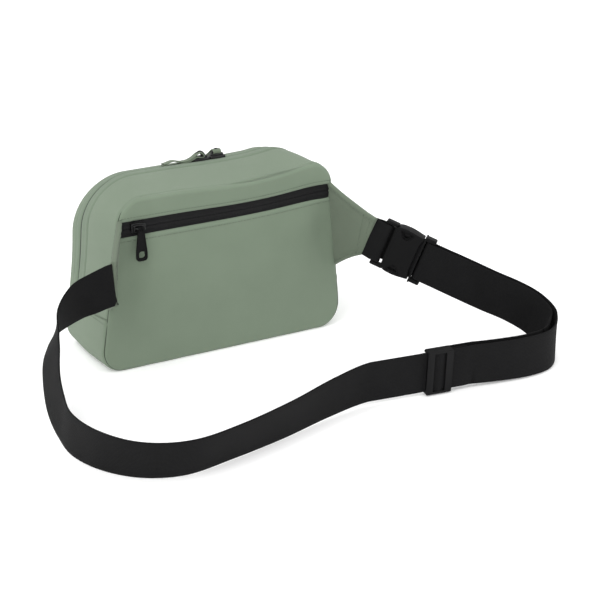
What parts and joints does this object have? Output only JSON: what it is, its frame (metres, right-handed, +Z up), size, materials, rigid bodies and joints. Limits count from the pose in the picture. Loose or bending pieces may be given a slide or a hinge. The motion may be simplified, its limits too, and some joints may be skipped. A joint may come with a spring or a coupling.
{
  "type": "belt bag",
  "caption": "Small canvas belt bag with a zipped top, a zipped pocket across its back panel and a webbing waist belt with a side-release buckle and a tri-glide.",
  "frame": {"origin": "centre of the base that the bag stands on", "axes": "+X to the right of someone looking at the back panel, +Y from the back panel to the front panel, +Z up"},
  "size_m": [0.4555, 0.3251, 0.1668],
  "materials": {
    "canvas": "matte woven canvas",
    "green_zip_tape": "matte woven tape",
    "black_zip_tape": "matte woven tape",
    "zip_coil": "semi-matte",
    "lining": "matte",
    "webbing": "matte woven webbing",
    "black_plastic": "satin",
    "black_metal": "satin"
  },
  "bodies": {
    "bag": {"back_yoke": "canvas", "back_panel": "canvas", "front_panel": "canvas", "gusset_bottom": "canvas", "gusset_rear": "canvas", "gusset_front": "canvas", "main_tape_rear": "green_zip_tape", "main_tape_front": "green_zip_tape", "main_zip_coils": "zip_coil", "main_zip_stops": "zip_coil", "seam_binding_rear": "lining", "seam_binding_front": "lining", "pocket_tape_upper": "black_zip_tape", "pocket_tape_lower": "black_zip_tape", "pocket_zip_coils": "zip_coil", "pocket_zip_stops": "zip_coil", "pocket_bag": "lining", "wing_left": "canvas", "wing_right": "canvas", "belt_long": "webbing", "belt_short": "webbing", "buckle_female": "black_plastic"},
    "belt_front": {"buckle_male": "black_plastic", "belt_bar_fold": "webbing", "belt_outer_run": "webbing", "belt_inner_run": "webbing"},
    "prong_low": {"buckle_prong_low": "black_plastic"},
    "prong_high": {"buckle_prong_high": "black_plastic"},
    "adjuster": {"triglide": "black_plastic", "belt_end_fold": "webbing"},
    "main_slider_left": {"main_slider_left": "black_metal"},
    "main_slider_right": {"main_slider_right": "black_metal"},
    "loop_pull_left": {"loop_pull_left": "green_zip_tape"},
    "loop_pull_right": {"loop_pull_right": "green_zip_tape"},
    "pocket_slider": {"pocket_slider": "black_metal"},
    "pocket_pull": {"pocket_pull": "black_plastic"}
  },
  "joints": [
    {"name": "pocket_slider_slide", "type": "slide", "parent": "bag", "child": "pocket_slider", "axis": [1, 0, 0], "range_m": [0, 0.168]},
    {"name": "pocket_pull_hinge", "type": "hinge", "parent": "pocket_slider", "child": "pocket_pull", "pos_m": [-0.082, -0.04865, 0.131], "axis": [-1, 0, 0], "range_deg": [0, 150]},
    {"name": "main_slider_left_slide", "type": "slide", "parent": "bag", "child": "main_slider_left", "axis": [-1, 0, 0], "range_m": [0, 0.062]},
    {"name": "loop_pull_left_hinge", "type": "hinge", "parent": "main_slider_left", "child": "loop_pull_left", "pos_m": [0.0115, 0.02406, 0.16235], "axis": [0, 0.9844, -0.1758], "range_deg": [0, 150]},
    {"name": "main_slider_right_slide", "type": "slide", "parent": "bag", "child": "main_slider_right", "axis": [1, 0, 0], "range_m": [0, 0.024]},
    {"name": "loop_pull_right_hinge", "type": "hinge", "parent": "main_slider_right", "child": "loop_pull_right", "pos_m": [0.028, 0.02434, 0.16392], "axis": [1, 0, 0], "range_deg": [0, 150]},
    {"name": "buckle_release_slide", "type": "slide", "parent": "bag", "child": "belt_front", "axis": [0.6716, -0.6485, -0.3584], "range_m": [0, 0.032]},
    {"name": "prong_low_squeeze", "type": "hinge", "parent": "belt_front", "child": "prong_low", "pos_m": [0.15011, -0.10929, 0.0683], "axis": [0.6947, 0.7193, 0], "range_deg": [0, 8], "stiffness_Nm_per_rad": 0.5},
    {"name": "prong_high_squeeze", "type": "hinge", "parent": "belt_front", "child": "prong_high", "pos_m": [0.1587, -0.11758, 0.09939], "axis": [-0.6947, -0.7193, 0], "range_deg": [0, 8], "stiffness_Nm_per_rad": 0.5},
    {"name": "triglide_slide", "type": "slide", "parent": "belt_front", "child": "adjuster", "axis": [-0.9917, 0.1288, 0], "range_m": [0, 0.04]}
  ]
}
